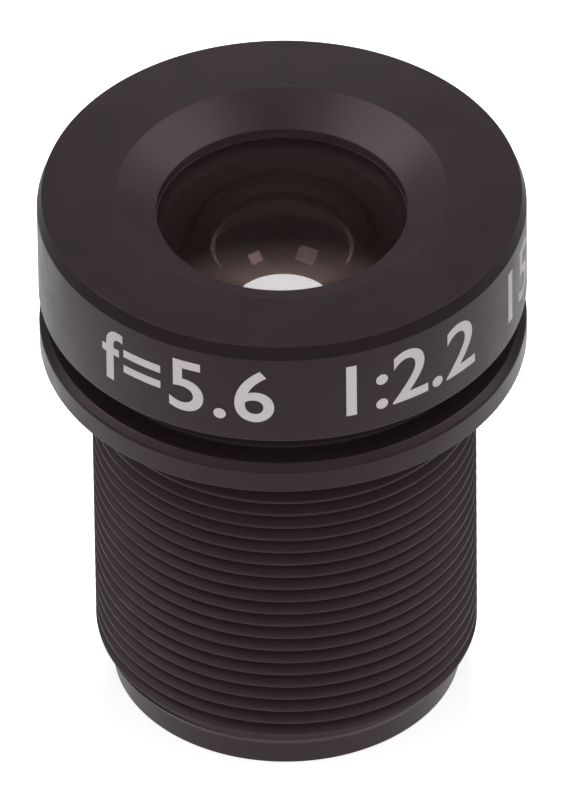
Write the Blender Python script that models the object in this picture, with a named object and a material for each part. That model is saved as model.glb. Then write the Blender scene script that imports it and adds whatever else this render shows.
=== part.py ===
"""Board lens for a small security camera, screw mount M12 x 0.5. Metres, +Z along the optical axis to the front.

The origin is the centre of the rear end face, on which the lens stands. Depths named *_depth run down from the
front face. Every piece is turned round the same axis with the same number of sides, so that nested rings keep an
even clearance all the way round.
"""

import math

import bmesh
import bpy

MM = 0.001
SIDES = 36                  # sides of every turned piece

# Overall
TOTAL_LENGTH = 18.60
FIT = 0.03                  # radial clearance of a piece in its bore
RIM_CLEARANCE = 0.05        # from the edge of a polished surface to the ring that bears beside it
CEMENT = 0.01               # thickness of the cement between the two glasses of the doublet

# Front cap: a turned ring that screws on the barrel and holds the front element
CAP_HEIGHT = 3.66
CAP_CHAMFER = 0.15
CAP_CHAMFER_HEIGHT = 0.42
CAP_LOWER_BREAK = 0.05
CAP_BORE_LEAD = 0.10
CAP_WALL = 0.92             # round the boss
FUNNEL_THROAT_RADIUS = 3.88
FUNNEL_FLARE = 1.23         # from the throat out to the top of the funnel
FUNNEL_DEPTH = 0.68
FUNNEL_TOP_RADIUS = FUNNEL_THROAT_RADIUS + FUNNEL_FLARE

# Front element and its seal, which lies between the element's edge and the barrel's boss
FRONT_RIM = 0.72            # flat rim of the front element outside the throat
FRONT_RADIUS = FUNNEL_THROAT_RADIUS + FRONT_RIM
SEAL_SECTION_RADIUS = 0.40
SEAL_ROOM = 0.07            # what the seal's groove is wider than the seal
SEAL_SIDES = 8
SEAL_BORE_RADIUS = FRONT_RADIUS + FIT + 2 * SEAL_SECTION_RADIUS + SEAL_ROOM

# Barrel, outside
BOSS_WALL = 1.10            # of the boss that carries the cap, seen in the groove between cap and flange
BOSS_RADIUS = SEAL_BORE_RADIUS + BOSS_WALL
HEAD_RADIUS = BOSS_RADIUS + FIT + CAP_WALL
BOSS_TOP_GAP = 0.05         # below the underside of the cap's lip
BOSS_TOP_BREAK = 0.10
GROOVE_HEIGHT = 1.02
FLANGE_THICKNESS = 1.00
FLANGE_TOP_CHAMFER = 0.21
FLANGE_LOWER_CHAMFER = 0.10
SPIGOT_RADIUS = 5.454
SPIGOT_HEIGHT = 0.80
SPIGOT_BREAK = 0.06
LEAD_SLOPE = 0.72           # radius gained for each millimetre up the lead-in cone

# Thread, whose depth and crest go with its pitch
THREAD_PITCH = 0.50
THREAD_CREST_RADIUS = 5.975
THREAD_ROOT_RADIUS = THREAD_CREST_RADIUS - 0.563 * THREAD_PITCH
THREAD_CREST_FLAT = 0.20 * THREAD_PITCH
THREAD_START_DEGREES = 260
THREAD_RELIEF = 1.40        # plain length between flange and thread
RUNOUT_TURNS = 0.5          # the ridge grows from nothing over this much of a turn
SEAT_CLEARANCE = 0.04       # the flange's seat starts this far outside the crests, past the corner's fillet

# Bore of the stack and rear ring
REAR_BORE_RADIUS = 4.25
RING_STEP = 0.20            # the ring's bore is wider than the stack's by this
RING_BORE_LEAD = 0.15       # and starts this far in front of the rear element's rim
RING_BORE_BREAK = 0.15
RING_HEIGHT = 1.60
RING_HOLE_RADIUS = 3.55
RING_HOLE_BREAK = 0.12
SLOT_WIDTH = 0.80
SLOT_DEPTH = 0.60

# Glass: radius of each polished surface (its centre lies behind it where +), clear radius and thickness
SURFACE_RINGS = 3           # rings of faces on each polished surface
FRONT_VERTEX_DEPTH = 0.46
STACK_RADIUS = REAR_BORE_RADIUS - FIT
DOUBLET_CLEAR = 3.25
DOUBLET_CURVE = -4.934
LENS_1 = dict(front=14.055, front_clear=FUNNEL_THROAT_RADIUS - 0.02, rear=4.976, rear_clear=3.42, thickness=0.80)
LENS_2 = dict(front=-9.0, front_clear=3.22, rear=8.716, rear_clear=2.92, thickness=0.75)
LENS_3 = dict(front=10.509, front_clear=3.05, rear=-12.91, rear_clear=2.95, thickness=2.564)
LENS_4 = dict(front=13.527, front_clear=3.10, rear=DOUBLET_CURVE, rear_clear=DOUBLET_CLEAR, thickness=1.90)
LENS_5 = dict(front=DOUBLET_CURVE, front_clear=DOUBLET_CLEAR, rear=-51.85, rear_clear=3.15, thickness=0.70)
LENS_6 = dict(front=7.859, front_clear=3.55, rear=-25.669, rear_clear=3.55, thickness=1.90)
AIR_1_2 = 3.304
AIR_2_3 = 0.866
AIR_3_STOP = 0.547
AIR_STOP_4 = 1.203
AIR_5_6 = 0.407
STOP_HOLE_RADIUS = 2.39
STOP_THICKNESS = 0.10
SHIELD_THICKNESS = 0.06

# Finishes: colour, roughness, transmission
ANODISED = ("black_anodised_aluminium", (0.016, 0.012, 0.013, 1.0), 0.42, 0.0)
BLACKENED = ("blackened_aluminium", (0.010, 0.009, 0.009, 1.0), 0.60, 0.0)
STOP_BLACK = ("blackened_sheet", (0.008, 0.008, 0.008, 1.0), 0.70, 0.0)
FILM = ("black_polyester_film", (0.008, 0.008, 0.008, 1.0), 0.80, 0.0)
RUBBER = ("black_nitrile_rubber", (0.012, 0.012, 0.012, 1.0), 0.75, 0.0)
COATED_GLASS = ("coated_glass", (0.75, 0.80, 0.78, 1.0), 0.02, 1.0)


def clear_scene():
    for item in list(bpy.data.objects):
        bpy.data.objects.remove(item, do_unlink=True)


def up(depth):
    """Height above the rear end face of a point this far behind the front face."""
    return TOTAL_LENGTH - depth


def sag(radius, at):
    """How far a spherical surface has moved behind its vertex at a distance from the axis."""
    return radius - math.copysign(math.sqrt(radius * radius - at * at), radius)


def material(piece, finish):
    name, colour, roughness, transmission = finish
    made = bpy.data.materials.new(f"{piece}_{name}")
    made.use_nodes = True
    shader = made.node_tree.nodes["Principled BSDF"]
    shader.inputs["Base Color"].default_value = colour
    shader.inputs["Metallic"].default_value = 0.0
    shader.inputs["Roughness"].default_value = roughness
    shader.inputs["Transmission Weight"].default_value = transmission
    made.diffuse_color = colour
    return made


def place(name, bm, finish, sharp_degrees=30):
    """Turns a bmesh in millimetres into an object in metres, facing out and shaded smooth."""
    bmesh.ops.recalc_face_normals(bm, faces=bm.faces[:])
    if bm.calc_volume(signed=True) < 0:
        bmesh.ops.reverse_faces(bm, faces=bm.faces[:])
    bmesh.ops.scale(bm, vec=(MM, MM, MM), verts=bm.verts[:])
    mesh = bpy.data.meshes.new(name)
    bm.to_mesh(mesh)
    bm.free()
    mesh.shade_smooth()
    mesh.set_sharp_from_angle(angle=math.radians(sharp_degrees))
    mesh.materials.append(material(name, finish))
    item = bpy.data.objects.new(name, mesh)
    bpy.context.scene.collection.objects.link(item)
    item.parent = bpy.data.objects["board_lens"]
    return item


def turned(name, profile, finish):
    """A solid of revolution. The profile holds (radius, height) pairs and closes on itself or on the axis."""
    bm = bmesh.new()
    points = [bm.verts.new((r, 0.0, z)) for r, z in profile]
    on_axis = profile[0][0] == 0.0 and profile[-1][0] == 0.0
    pairs = list(zip(points, points[1:])) + ([] if on_axis else [(points[-1], points[0])])
    edges = [bm.edges.new(pair) for pair in pairs]
    bmesh.ops.spin(
        bm, geom=points + edges, cent=(0, 0, 0), axis=(0, 0, 1), dvec=(0, 0, 0),
        angle=2 * math.pi, steps=SIDES, use_merge=True, use_duplicate=False,
    )
    bmesh.ops.remove_doubles(bm, verts=bm.verts[:], dist=1e-4)
    return place(name, bm, finish)


def surface(radius, clear, vertex, outward):
    """Points of a polished surface from its rim to the axis, or from the axis out. Vertex is its depth."""
    steps = range(SURFACE_RINGS + 1)
    rims = [clear * step / SURFACE_RINGS for step in steps]
    points = [(r, up(vertex + sag(radius, r))) for r in rims]
    return points if outward else points[::-1]


def element(name, spec, vertex, edge):
    """One ground glass element, with flat rims outside its two polished surfaces."""
    front = surface(spec["front"], spec["front_clear"], vertex, True)
    rear = surface(spec["rear"], spec["rear_clear"], vertex + spec["thickness"], False)
    outside = [(edge, front[-1][1]), (edge, rear[0][1])]
    outside = [point for point in outside if point not in (front[-1], rear[0])]
    return turned(name, front + outside + rear, COATED_GLASS)


def spacer(name, bore, top, bottom):
    return ring(name, bore, STACK_RADIUS, top, bottom, BLACKENED)


def front_rim(spec, vertex):
    return vertex + sag(spec["front"], spec["front_clear"])


def rear_rim(spec, vertex):
    return vertex + spec["thickness"] + sag(spec["rear"], spec["rear_clear"])


def ring(name, inner, outer, top, bottom, finish, inner_break=0.0):
    """A plain turned ring between two depths, with the edges of its hole broken where asked."""
    profile = [(outer, up(top)), (outer, up(bottom))]
    if inner_break:
        profile += [(inner + inner_break, up(bottom)), (inner, up(bottom - inner_break))]
        profile += [(inner, up(top + inner_break)), (inner + inner_break, up(top))]
    else:
        profile += [(inner, up(bottom)), (inner, up(top))]
    return turned(name, profile, finish)


def circle(bm, radius, height):
    turn = [2 * math.pi * i / SIDES for i in range(SIDES)]
    return [bm.verts.new((radius * math.cos(a), radius * math.sin(a), height)) for a in turn]


def join(bm, first, second):
    """A band of faces between two circles."""
    for i in range(SIDES):
        j = (i + 1) % SIDES
        bm.faces.new((first[i], first[j], second[j], second[i]))


def thread(bm, low, high, low_height, columns, cone):
    """The right-hand external thread between two root circles.

    A ridge of four lines winds up from a point on the lower circle and dies out at a point on the upper one.
    """
    start = round(THREAD_START_DEGREES / 360 * SIDES)
    rise = THREAD_PITCH / SIDES
    runout = RUNOUT_TURNS * SIDES
    depth = THREAD_CREST_RADIUS - THREAD_ROOT_RADIUS
    half_crest = THREAD_CREST_FLAT / 2
    half_base = half_crest + depth * math.tan(math.radians(30))
    section = ((-half_base, 0.0), (-half_crest, depth), (half_crest, depth), (half_base, 0.0))
    lines = [[low[start % SIDES]] * 4]
    for column in range(1, columns):
        grown = min(1.0, column / runout, (columns - column) / runout)
        angle = 2 * math.pi * (start + column) / SIDES
        made = []
        for offset, ridge in section:
            z = low_height + rise * column + offset * grown
            r = min(THREAD_ROOT_RADIUS + ridge * grown, cone(z))
            made.append(bm.verts.new((r * math.cos(angle), r * math.sin(angle), z)))
        lines.append(made)
    lines.append([high[(start + columns) % SIDES]] * 4)
    for column in range(columns):
        here, there = lines[column], lines[column + 1]
        for step in range(3):
            face(bm, [here[step], there[step], there[step + 1], here[step + 1]])
        # The root above this stretch of the ridge, up to the next turn or to the upper circle.
        upper = []
        for ahead in (column, column + 1):
            over = ahead + SIDES
            upper.append(lines[over][0] if over <= columns else high[(start + ahead) % SIDES])
        face(bm, [here[3], there[3], upper[1], upper[0]])
    for column in range(SIDES):
        index = start + column
        face(bm, [low[index % SIDES], low[(index + 1) % SIDES], lines[column + 1][0], lines[column][0]])


def face(bm, corners):
    """A face from corners that may repeat where the ridge starts or ends."""
    kept = [c for i, c in enumerate(corners) if c is not corners[i - 1]]
    if len(kept) > 2:
        bm.faces.new(kept)


def build_barrel(seat, shoulder, stack_end):
    cone_end = SPIGOT_HEIGHT + (THREAD_ROOT_RADIUS - SPIGOT_RADIUS) / LEAD_SLOPE
    flange_top = CAP_HEIGHT + GROOVE_HEIGHT
    flange_low = flange_top + FLANGE_THICKNESS
    rise = THREAD_PITCH / SIDES
    columns = round((up(flange_low + THREAD_RELIEF) - cone_end) / rise)
    thread_top = cone_end + rise * columns
    seat_start = THREAD_CREST_RADIUS + SEAT_CLEARANCE
    corner = seat_start - THREAD_ROOT_RADIUS
    boss_top = lip_underside() + BOSS_TOP_GAP
    front_bore = FRONT_RADIUS + FIT
    ring_bore = REAR_BORE_RADIUS + RING_STEP
    ring_bore_top = stack_end - RING_BORE_LEAD

    def cone(z):
        return SPIGOT_RADIUS + (z - SPIGOT_HEIGHT) * LEAD_SLOPE

    bm = bmesh.new()
    outside_low = [circle(bm, r, z) for r, z in (
        (SPIGOT_RADIUS - SPIGOT_BREAK, 0.0),
        (SPIGOT_RADIUS, SPIGOT_BREAK),
        (SPIGOT_RADIUS, SPIGOT_HEIGHT),
        (THREAD_ROOT_RADIUS, cone_end),
    )]
    outside_high = [circle(bm, r, z) for r, z in (
        (THREAD_ROOT_RADIUS, thread_top),
        (THREAD_ROOT_RADIUS, up(flange_low + corner)),
        (seat_start, up(flange_low)),
        (HEAD_RADIUS - FLANGE_LOWER_CHAMFER, up(flange_low)),
        (HEAD_RADIUS, up(flange_low - FLANGE_LOWER_CHAMFER)),
        (HEAD_RADIUS, up(flange_top + FLANGE_TOP_CHAMFER)),
        (HEAD_RADIUS - FLANGE_TOP_CHAMFER, up(flange_top)),
        (BOSS_RADIUS, up(flange_top)),
        (BOSS_RADIUS, up(boss_top + BOSS_TOP_BREAK)),
        (BOSS_RADIUS - BOSS_TOP_BREAK, up(boss_top)),
    )]
    inside = [circle(bm, r, z) for r, z in (
        (SEAL_BORE_RADIUS, up(boss_top)),
        (SEAL_BORE_RADIUS, up(seal_floor())),
        (front_bore, up(seal_floor())),
        (front_bore, up(seat)),
        (LENS_1["rear_clear"] + RIM_CLEARANCE, up(seat)),
        (LENS_2["front_clear"] + RIM_CLEARANCE, up(shoulder)),
        (REAR_BORE_RADIUS, up(shoulder)),
        (REAR_BORE_RADIUS, up(ring_bore_top)),
        (ring_bore, up(ring_bore_top)),
        (ring_bore, RING_BORE_BREAK),
        (ring_bore + RING_BORE_BREAK, 0.0),
    )]
    for first, second in zip(outside_low, outside_low[1:]):
        join(bm, first, second)
    thread(bm, outside_low[-1], outside_high[0], cone_end, columns, cone)
    around = outside_high + inside + [outside_low[0]]
    for first, second in zip(around, around[1:]):
        join(bm, first, second)
    return place("barrel", bm, ANODISED, 25)


def lip_underside():
    """Depth of the underside of the cap's lip, which bears on the flat rim of the front element."""
    return front_rim(LENS_1, FRONT_VERTEX_DEPTH)


def seal_floor():
    return lip_underside() + 2 * SEAL_SECTION_RADIUS + SEAL_ROOM


def build_cap():
    lip = lip_underside()
    bore = BOSS_RADIUS + FIT
    return turned("front_cap", [
        (HEAD_RADIUS - CAP_CHAMFER, up(0.0)),
        (HEAD_RADIUS, up(CAP_CHAMFER_HEIGHT)),
        (HEAD_RADIUS, up(CAP_HEIGHT - CAP_LOWER_BREAK)),
        (HEAD_RADIUS - CAP_LOWER_BREAK, up(CAP_HEIGHT)),
        (bore + CAP_BORE_LEAD, up(CAP_HEIGHT)),
        (bore, up(CAP_HEIGHT - CAP_BORE_LEAD)),
        (bore, up(lip)),
        (FUNNEL_THROAT_RADIUS, up(lip)),
        (FUNNEL_THROAT_RADIUS, up(FUNNEL_DEPTH)),
        (FUNNEL_TOP_RADIUS, up(0.0)),
    ], ANODISED)


def build_seal():
    middle = (FRONT_RADIUS + FIT + SEAL_BORE_RADIUS) / 2
    depth = (lip_underside() + seal_floor()) / 2
    loop = []
    for side in range(SEAL_SIDES):
        turn = 2 * math.pi * side / SEAL_SIDES
        across = SEAL_SECTION_RADIUS * math.cos(turn)
        along = SEAL_SECTION_RADIUS * math.sin(turn)
        loop.append((middle + across, up(depth) + along))
    return turned("front_seal", loop, RUBBER)


def build_retaining_ring(top):
    """The rear ring with four slots across its rear face for a pin spanner."""
    outer = REAR_BORE_RADIUS + RING_STEP - FIT
    bottom = top + RING_HEIGHT
    item = ring("rear_retaining_ring", RING_HOLE_RADIUS, outer, top, bottom, BLACKENED, RING_HOLE_BREAK)
    cutter_mesh = bpy.data.meshes.new("slot_cutters")
    bm = bmesh.new()
    long_side = 2 * outer + 1.0
    for size in ((long_side, SLOT_WIDTH), (SLOT_WIDTH, long_side)):
        made = bmesh.ops.create_cube(bm, size=1.0)["verts"]
        bmesh.ops.scale(bm, vec=(size[0], size[1], 2 * SLOT_DEPTH), verts=made)
    bmesh.ops.translate(bm, vec=(0, 0, up(bottom)), verts=bm.verts[:])
    bmesh.ops.scale(bm, vec=(MM, MM, MM), verts=bm.verts[:])
    bm.to_mesh(cutter_mesh)
    bm.free()
    cutter = bpy.data.objects.new("slot_cutters", cutter_mesh)
    bpy.context.scene.collection.objects.link(cutter)
    cutter.parent = bpy.data.objects["board_lens"]
    cutter.hide_render = True
    cutter.display_type = "WIRE"
    cut = item.modifiers.new("slots", "BOOLEAN")
    cut.operation = "DIFFERENCE"
    cut.solver = "EXACT"
    cut.use_self = True
    cut.object = cutter
    return item


def build_stack():
    """Sets the glass out from the front vertex, one surface after another, and fits the rings between the rims."""
    vertex_1 = FRONT_VERTEX_DEPTH
    vertex_2 = vertex_1 + LENS_1["thickness"] + AIR_1_2
    vertex_3 = vertex_2 + LENS_2["thickness"] + AIR_2_3
    stop = vertex_3 + LENS_3["thickness"] + AIR_3_STOP
    vertex_4 = stop + AIR_STOP_4
    vertex_5 = vertex_4 + LENS_4["thickness"] + CEMENT
    vertex_6 = vertex_5 + LENS_5["thickness"] + AIR_5_6
    stop_top = stop - STOP_THICKNESS / 2
    stop_low = stop + STOP_THICKNESS / 2
    seat = rear_rim(LENS_1, vertex_1) + SHIELD_THICKNESS
    stack_end = rear_rim(LENS_6, vertex_6)

    element("lens_1", LENS_1, vertex_1, FRONT_RADIUS)
    element("lens_2", LENS_2, vertex_2, STACK_RADIUS)
    element("lens_3", LENS_3, vertex_3, STACK_RADIUS)
    element("lens_4", LENS_4, vertex_4, DOUBLET_CLEAR)
    element("lens_5", LENS_5, vertex_5, STACK_RADIUS)
    element("lens_6", LENS_6, vertex_6, STACK_RADIUS)

    bore_1 = max(LENS_2["rear_clear"], LENS_3["front_clear"]) + RIM_CLEARANCE
    bore_2 = LENS_3["rear_clear"] + RIM_CLEARANCE
    bore_3 = DOUBLET_CLEAR + RIM_CLEARANCE
    bore_4 = max(LENS_5["rear_clear"], LENS_6["front_clear"]) + RIM_CLEARANCE
    bore_5 = LENS_6["rear_clear"] + RIM_CLEARANCE
    front_bore = LENS_1["rear_clear"] + RIM_CLEARANCE
    spacer("spacer_1", bore_1, rear_rim(LENS_2, vertex_2), front_rim(LENS_3, vertex_3))
    spacer("spacer_2", bore_2, rear_rim(LENS_3, vertex_3), stop_top)
    ring("aperture_stop", STOP_HOLE_RADIUS, STACK_RADIUS, stop_top, stop_low, STOP_BLACK)
    spacer("spacer_3", bore_3, stop_low, front_rim(LENS_5, vertex_5))
    spacer("spacer_4", bore_4, rear_rim(LENS_5, vertex_5), front_rim(LENS_6, vertex_6))
    ring("light_shield_1", front_bore, FRONT_RADIUS, rear_rim(LENS_1, vertex_1), seat, FILM)
    ring("light_shield_2", bore_5, STACK_RADIUS, stack_end, stack_end + SHIELD_THICKNESS, FILM)
    return seat, front_rim(LENS_2, vertex_2), stack_end


clear_scene()
bpy.context.scene.collection.objects.link(bpy.data.objects.new("board_lens", None))
web_seat, stack_shoulder, stack_rear = build_stack()
build_barrel(web_seat, stack_shoulder, stack_rear)
build_cap()
build_seal()
build_retaining_ring(stack_rear + SHIELD_THICKNESS)
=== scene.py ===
# %% [markdown]
# # A board lens for a small security camera
# The lens is a black aluminium barrel with a fine thread that screws into a holder on the camera board. A cap
# on its front end holds the front glass, and a ring at the rear end holds the rest of the stack. The packed
# model gives every piece its place. This lesson turns each one again with fine roundings, cuts the thread with
# Geometry Nodes, gives each piece its finish, and sets up the picture.

# %% Load the fixed frame
import math

import bmesh
import bpy
from mathutils import Matrix, Vector


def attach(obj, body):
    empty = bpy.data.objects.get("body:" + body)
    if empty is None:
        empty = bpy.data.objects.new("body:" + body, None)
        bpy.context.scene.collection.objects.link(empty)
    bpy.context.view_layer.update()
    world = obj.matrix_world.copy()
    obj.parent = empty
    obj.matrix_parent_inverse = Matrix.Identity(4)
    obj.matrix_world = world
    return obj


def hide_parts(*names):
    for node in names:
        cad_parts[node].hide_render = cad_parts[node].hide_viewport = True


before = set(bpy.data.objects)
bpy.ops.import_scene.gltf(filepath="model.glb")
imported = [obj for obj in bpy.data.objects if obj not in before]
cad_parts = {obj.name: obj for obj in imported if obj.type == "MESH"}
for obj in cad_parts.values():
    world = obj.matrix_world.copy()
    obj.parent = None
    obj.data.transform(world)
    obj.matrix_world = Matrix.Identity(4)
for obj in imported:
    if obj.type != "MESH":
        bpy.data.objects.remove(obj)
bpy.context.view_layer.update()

# %% [markdown]
# ## Sizes
# Everything is drawn in millimetres and scaled to metres at the end. Depths run down from the front face, as
# they do on a lens drawing, and `up` turns one into a height above the floor that the lens stands on.

# %% Sizes that several pieces share
MM = 0.001
LENGTH = 18.60
FIT = 0.03                  # clearance of a piece in its bore
RIM_CLEARANCE = 0.05        # from the edge of a polished surface to the ring beside it
HEAD_RADIUS = 7.55          # cap and flange
BOSS_RADIUS = 6.60          # the cap sits on it, and the groove under the cap shows it
CAP_HEIGHT = 3.66
FLANGE_TOP = 4.68
FLANGE_LOW = 5.68
THREAD_PITCH = 0.50
CREST_RADIUS = 5.975
ROOT_RADIUS = 5.6935
SPIGOT_RADIUS = 5.454
SPIGOT_HEIGHT = 0.80
LEAD_SLOPE = 0.72           # radius gained for each millimetre up the lead-in cone
THROAT_RADIUS = 3.88
FRONT_EDGE = 4.60           # radius of the front glass
STACK_EDGE = 4.22           # radius of the glass and rings behind it
STACK_BORE = 4.25


def up(depth):
    return LENGTH - depth


print(f"length {LENGTH} mm, head {2 * HEAD_RADIUS} mm across, thread {2 * CREST_RADIUS} mm over its crests")

# %% [markdown]
# ## Turned pieces
# Nearly every piece comes off a lathe, so one function does the lathe's work: it takes the outline of half a
# section and carries it round the axis. A tool never leaves an edge perfectly sharp, and it is the small
# rounding of an edge that catches the light, so each corner may have a fillet. Beside each fillet stands a
# support ring, which keeps the smooth shading of the arc from spreading over the flat next to it. The Screw
# modifier could turn the outline too, but here each stretch of it keeps the number of its own finish.

# %% Rounded outline
ARC_STEPS = 5
SUPPORT = 0.02              # from the end of an arc to its support ring
LARGEST_SHARE = 0.45        # of the straight beside it that a fillet may take up
ROOM = 4                    # a straight gets a ring if it is over this many times what arc and ring take up


def rounded(corners):
    """Points (radius, height, finish) of a closed outline of corners (radius, height, fillet, finish)."""
    points = []
    for index, (radius, height, fillet, finish) in enumerate(corners):
        before = corners[index - 1]
        after = corners[(index + 1) % len(corners)]
        if fillet == 0.0:
            points.append((radius, height, finish))
            continue
        here = Vector((radius, height))
        back = Vector(before[:2]) - here
        ahead = Vector(after[:2]) - here
        half = back.angle(ahead) / 2
        reach = min(fillet / math.tan(half), LARGEST_SHARE * back.length, LARGEST_SHARE * ahead.length)
        first = here + back.normalized() * reach
        last = here + ahead.normalized() * reach
        middle = (back.normalized() + ahead.normalized()).normalized()
        centre = here + middle * reach / math.cos(half)
        turn = (first - centre).angle_signed(last - centre)
        if back.length > ROOM * (reach + SUPPORT):
            points.append((*(first + back.normalized() * SUPPORT), before[3]))
        for step in range(ARC_STEPS + 1):
            spoke = (first - centre).copy()
            spoke.rotate(Matrix.Rotation(-turn * step / ARC_STEPS, 2))
            points.append((*(centre + spoke), finish if step == ARC_STEPS else before[3]))
        if ahead.length > ROOM * (reach + SUPPORT):
            points.append((*(last + ahead.normalized() * SUPPORT), finish))
    return points


# %% The lathe
SEGMENTS = 240
SHARP = 35                  # degrees between two faces, from which on their edge is shaded as a sharp one
WELD = 1e-5                 # points closer than this are one point
ON_AXIS = 1e-6


def finished(name, bm, finishes, sharp_degrees=SHARP):
    """An object in metres from a bmesh in millimetres: closed, facing out, smooth but for its sharp edges."""
    bmesh.ops.remove_doubles(bm, verts=bm.verts[:], dist=WELD)
    bmesh.ops.recalc_face_normals(bm, faces=bm.faces[:])
    if bm.calc_volume(signed=True) < 0:
        bmesh.ops.reverse_faces(bm, faces=bm.faces[:])
    bmesh.ops.scale(bm, vec=(MM, MM, MM), verts=bm.verts[:])
    mesh = bpy.data.meshes.new(name)
    bm.to_mesh(mesh)
    bm.free()
    mesh.shade_smooth()
    mesh.set_sharp_from_angle(angle=math.radians(sharp_degrees))
    for finish in finishes:
        mesh.materials.append(finish)
    piece = bpy.data.objects.new(name, mesh)
    bpy.context.scene.collection.objects.link(piece)
    return piece


def turned(name, corners, finishes, sharp_degrees=SHARP, segments=SEGMENTS):
    """A solid of revolution from a closed outline, or from one that starts and ends on the axis."""
    outline = rounded(corners)
    bm = bmesh.new()
    rings = []
    for radius, height, _ in outline:
        count = 1 if radius < ON_AXIS else segments
        angles = [2 * math.pi * i / segments for i in range(count)]
        rings.append([bm.verts.new((radius * math.cos(a), radius * math.sin(a), height)) for a in angles])
    for index, ring in enumerate(rings):
        following = rings[(index + 1) % len(rings)]
        if len(ring) == 1 and len(following) == 1:
            continue
        for i in range(segments):
            j = (i + 1) % segments
            loop = [ring[i % len(ring)], ring[j % len(ring)]]
            loop += [following[j % len(following)], following[i % len(following)]]
            loop = [vertex for k, vertex in enumerate(loop) if vertex is not loop[k - 1]]
            made = bm.faces.new(loop)
            made.material_index = outline[index][2]
    return finished(name, bm, finishes, sharp_degrees)


def in_place(piece, slot, *nodes):
    """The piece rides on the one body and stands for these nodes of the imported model."""
    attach(piece, "root")
    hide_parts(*nodes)
    high = max(vertex.co.z for vertex in piece.data.vertices)
    wide = max(Vector(vertex.co.xy).length for vertex in piece.data.vertices)
    faces = len(piece.data.polygons)
    print(f"{piece.name}: {2 * wide / MM:.2f} mm across, top at {high / MM:.2f} mm, {faces} faces")
    return piece


# %% [markdown]
# ## Finishes
# Each finish is a small tree of shader nodes. `node` adds one node with its settings and links, and `srgb`
# turns a colour as a screen shows it into the linear values that a shader takes. Patterns read Object
# coordinates, scaled so that one unit is one millimetre, and `turning` makes the two numbers that a lathe's
# marks follow: the distance from the axis and the height.

# %% Helpers for shader nodes
def srgb(code):
    parts = [int(code[i:i + 2], 16) / 255 for i in (1, 3, 5)]
    linear = [value / 12.92 if value <= 0.04045 else ((value + 0.055) / 1.055) ** 2.4 for value in parts]
    return (*linear, 1.0)


def node(tree, kind, inputs=None, **settings):
    """Adds a node. Settings are its properties, inputs its sockets by name or number: values or links."""
    made = tree.nodes.new(kind)
    for name, value in settings.items():
        setattr(made, name, value)
    for name, value in (inputs or {}).items():
        if isinstance(value, bpy.types.NodeSocket):
            tree.links.new(value, made.inputs[name])
        else:
            made.inputs[name].default_value = value
    return made


def finish_tree(name):
    """A new material with an empty node tree, and Object coordinates in millimetres."""
    made = bpy.data.materials.new(name)
    made.use_nodes = True
    tree = made.node_tree
    tree.nodes.clear()
    place = node(tree, "ShaderNodeTexCoord")
    scaled = node(tree, "ShaderNodeMapping", {"Vector": place.outputs["Object"], "Scale": (1 / MM,) * 3})
    return made, tree, scaled.outputs["Vector"]


def turning(tree, place):
    """The distance from the axis and the height of a point, as a flat vector that is the same all round."""
    parts = node(tree, "ShaderNodeSeparateXYZ", {"Vector": place})
    flat = node(tree, "ShaderNodeCombineXYZ", {"X": parts.outputs["X"], "Y": parts.outputs["Y"]})
    radius = node(tree, "ShaderNodeVectorMath", {0: flat.outputs["Vector"]}, operation="LENGTH")
    both = node(tree, "ShaderNodeCombineXYZ", {"X": radius.outputs["Value"], "Y": parts.outputs["Z"]})
    return both.outputs["Vector"]


# %% [markdown]
# ### Black anodised aluminium, turned
# Anodising grows a thin clear layer of oxide on the metal, and black dye fills it. A metal under a clear coat
# could be the shader, but the dye hides the metal, so what the eye sees is one dark dielectric: faint in
# front, and brighter towards grazing angles, where the layer mirrors its surroundings. The dye of cheap parts
# leans to red brown, which shows in the weak reflection seen from the front. The lathe's feed marks are about
# 0.05 mm apart, too fine for this picture, so they are drawn twice as coarse and shallow. The chamfer round
# the cap's face has a darker base colour of its own, which is painted shade: it makes the chamfer look more
# dimly lit than the face.

# %% Black anodised aluminium
def anodised(name, dark, light, mirror, roughness, mark_height):
    """Roughness is (lowest, highest), mirror tints the reflection, and mark_height is in mm."""
    made, tree, place = finish_tree(name)
    both = turning(tree, place)
    cloud = node(tree, "ShaderNodeTexNoise", {"Vector": place, "Scale": 0.9, "Detail": 3.0, "Roughness": 0.6})
    tone = node(tree, "ShaderNodeMix", {
        "Factor": cloud.outputs["Fac"],
        6: srgb(dark),
        7: srgb(light),
    }, data_type="RGBA")
    dull = node(tree, "ShaderNodeMapRange", {
        "Value": cloud.outputs["Fac"], "From Min": 0.3, "From Max": 0.7,
        "To Min": roughness[0], "To Max": roughness[1],
    })
    marks = node(tree, "ShaderNodeTexNoise", {
        "Vector": both, "Scale": 10.0, "Detail": 2.0,
    }, noise_dimensions="2D")
    grain = node(tree, "ShaderNodeTexNoise", {"Vector": place, "Scale": 22.0, "Detail": 1.0})
    relief = node(tree, "ShaderNodeMix", {"Factor": 0.35, 2: marks.outputs["Fac"], 3: grain.outputs["Fac"]})
    bump = node(tree, "ShaderNodeBump", {"Height": relief.outputs[0], "Distance": mark_height * MM})
    shader = node(tree, "ShaderNodeBsdfPrincipled", {
        "Base Color": tone.outputs[2],
        "Roughness": dull.outputs["Result"],
        "Normal": bump.outputs["Normal"],
        "IOR": 1.5,
        "Specular Tint": srgb(mirror),
    })
    node(tree, "ShaderNodeOutputMaterial", {"Surface": shader.outputs["BSDF"]})
    return made


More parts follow.
